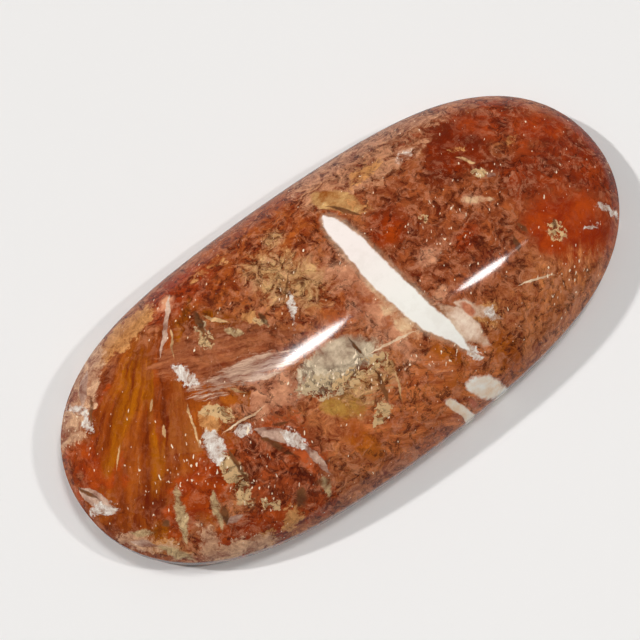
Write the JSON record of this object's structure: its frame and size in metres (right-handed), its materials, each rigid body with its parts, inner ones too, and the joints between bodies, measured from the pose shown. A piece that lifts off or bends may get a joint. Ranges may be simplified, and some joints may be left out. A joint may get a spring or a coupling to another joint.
{
  "type": "oval cabochon of pyrophyllite in quartz",
  "caption": "Long oval cabochon of red pyrophyllite in quartz with a flat back and a low polished dome.",
  "frame": {"origin": "middle of the flat back", "axes": "+X along the stone towards its blunter end, +Z out of the dome"},
  "size_m": [0.05, 0.0238, 0.007],
  "materials": {
    "stone": "polished dome, ground back and girdle"
  },
  "bodies": {
    "root": {"cabochon": "stone"}
  },
  "joints": []
}
